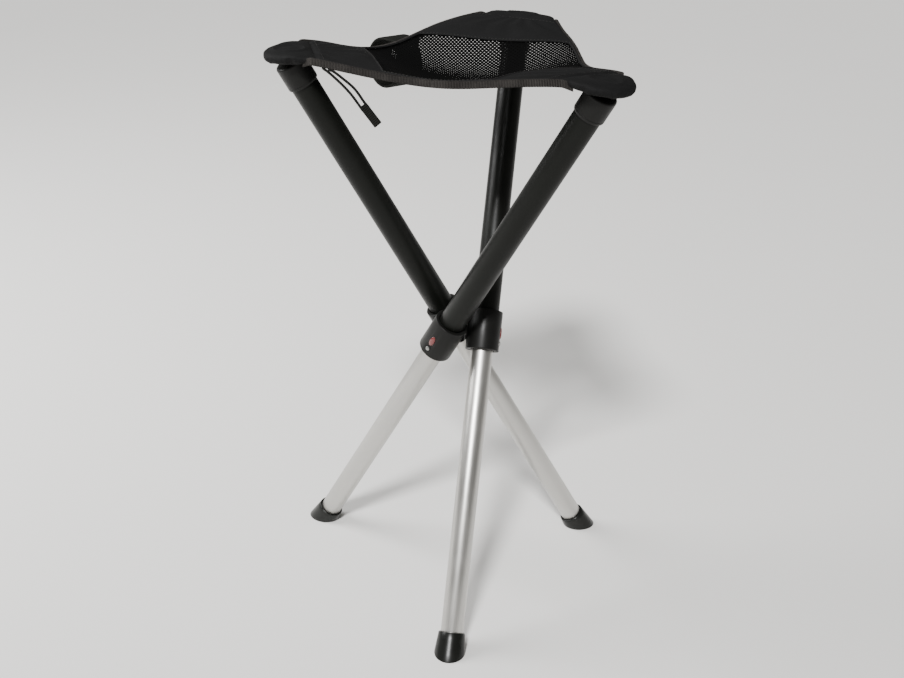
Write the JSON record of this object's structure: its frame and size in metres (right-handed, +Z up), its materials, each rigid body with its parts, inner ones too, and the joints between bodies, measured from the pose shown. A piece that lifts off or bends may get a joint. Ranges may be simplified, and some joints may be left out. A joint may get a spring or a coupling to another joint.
{
  "type": "folding telescopic stool",
  "caption": "Folding tripod stool with crossing telescopic tube legs, a pivot hub, rubber feet and a taut fabric seat with a net middle.",
  "frame": {"origin": "middle of the plan box, on the floor that the feet stand on", "axes": "+Z up; the back leg turns on the pivot screw that lies along +X from the hub, and the back seat corner is near +Y"},
  "size_m": [0.3334, 0.3702, 0.5545],
  "materials": {
    "black_tube": "satin black coating",
    "silver_tube": "satin drawn tube",
    "black_plastic": "moulded satin black",
    "red_plastic": "moulded glossy red",
    "steel": "plain bright",
    "rubber": "moulded semi-gloss black",
    "cloth": "coated plain weave",
    "tape": "ribbed woven tape",
    "netting": "knitted open net"
  },
  "bodies": {
    "hub_and_seat": {"pivot_hub": "black_plastic", "back_pivot_screw": "steel", "left_pivot_screw": "steel", "right_pivot_screw": "steel", "seat_net": "netting", "left_edge_band": "cloth", "left_binding": "tape", "front_edge_band": "cloth", "front_binding": "tape", "right_edge_band": "cloth", "right_binding": "tape", "back_corner_panel": "cloth", "left_corner_panel": "cloth", "right_corner_panel": "cloth", "carry_loop": "tape", "pull_cord_1": "tape", "pull_cord_2": "tape", "pull_tag": "tape"},
    "back_upper_leg": {"back_upper_tube": "black_tube", "back_leg_cap": "black_plastic", "back_collar": "black_plastic", "back_corner_pocket": "cloth"},
    "back_lower_leg": {"back_lower_tube": "silver_tube", "back_tube_plug": "black_plastic", "back_foot": "rubber"},
    "back_lock": {"back_release_button": "red_plastic", "back_lock_pin": "steel", "back_lock_spring": "steel"},
    "left_upper_leg": {"left_upper_tube": "black_tube", "left_leg_cap": "black_plastic", "left_collar": "black_plastic", "left_corner_pocket": "cloth"},
    "left_lower_leg": {"left_lower_tube": "silver_tube", "left_tube_plug": "black_plastic", "left_foot": "rubber"},
    "left_lock": {"left_release_button": "red_plastic", "left_lock_pin": "steel", "left_lock_spring": "steel"},
    "right_upper_leg": {"right_upper_tube": "black_tube", "right_leg_cap": "black_plastic", "right_collar": "black_plastic", "right_corner_pocket": "cloth"},
    "right_lower_leg": {"right_lower_tube": "silver_tube", "right_tube_plug": "black_plastic", "right_foot": "rubber"},
    "right_lock": {"right_release_button": "red_plastic", "right_lock_pin": "steel", "right_lock_spring": "steel"}
  },
  "joints": [
    {"name": "back_leg_fold", "type": "hinge", "parent": "hub_and_seat", "child": "back_upper_leg", "pos_m": [0.03753, -0.00236, 0.27112], "axis": [1, 0, 0], "range_deg": [0, 31.1], "deforming": ["back_corner_pocket", "back_corner_panel", "seat_net", "left_edge_band", "left_binding", "front_edge_band", "front_binding", "right_edge_band", "right_binding"]},
    {"name": "back_leg_slide", "type": "slide", "parent": "back_upper_leg", "child": "back_lower_leg", "axis": [0, 0.5168, 0.8561], "range_m": [0, 0.272]},
    {"name": "back_lock_press", "type": "slide", "parent": "back_upper_leg", "child": "back_lock", "axis": [-1, 0, 0], "range_m": [0, 0.0014], "stiffness_N_per_m": 900, "springref_m": -0.002},
    {"name": "left_leg_fold", "type": "hinge", "parent": "hub_and_seat", "child": "left_upper_leg", "pos_m": [0.00003, 0.01929, 0.27112], "axis": [-0.5, 0.866, 0], "range_deg": [0, 31.1], "deforming": ["left_corner_pocket", "left_corner_panel"]},
    {"name": "left_leg_slide", "type": "slide", "parent": "left_upper_leg", "child": "left_lower_leg", "axis": [-0.4476, -0.2584, 0.8561], "range_m": [0, 0.272]},
    {"name": "left_lock_press", "type": "slide", "parent": "left_upper_leg", "child": "left_lock", "axis": [0.5, -0.866, 0], "range_m": [0, 0.0014], "stiffness_N_per_m": 900, "springref_m": -0.002},
    {"name": "right_leg_fold", "type": "hinge", "parent": "hub_and_seat", "child": "right_upper_leg", "pos_m": [0.00003, -0.02402, 0.27112], "axis": [-0.5, -0.866, 0], "range_deg": [0, 31.1], "deforming": ["right_corner_pocket", "right_corner_panel"]},
    {"name": "right_leg_slide", "type": "slide", "parent": "right_upper_leg", "child": "right_lower_leg", "axis": [0.4476, -0.2584, 0.8561], "range_m": [0, 0.272]},
    {"name": "right_lock_press", "type": "slide", "parent": "right_upper_leg", "child": "right_lock", "axis": [0.5, 0.866, 0], "range_m": [0, 0.0014], "stiffness_N_per_m": 900, "springref_m": -0.002}
  ],
  "couplings": [
    {"joint": "left_leg_fold", "follows": "back_leg_fold", "ratio": 1},
    {"joint": "right_leg_fold", "follows": "back_leg_fold", "ratio": 1}
  ]
}
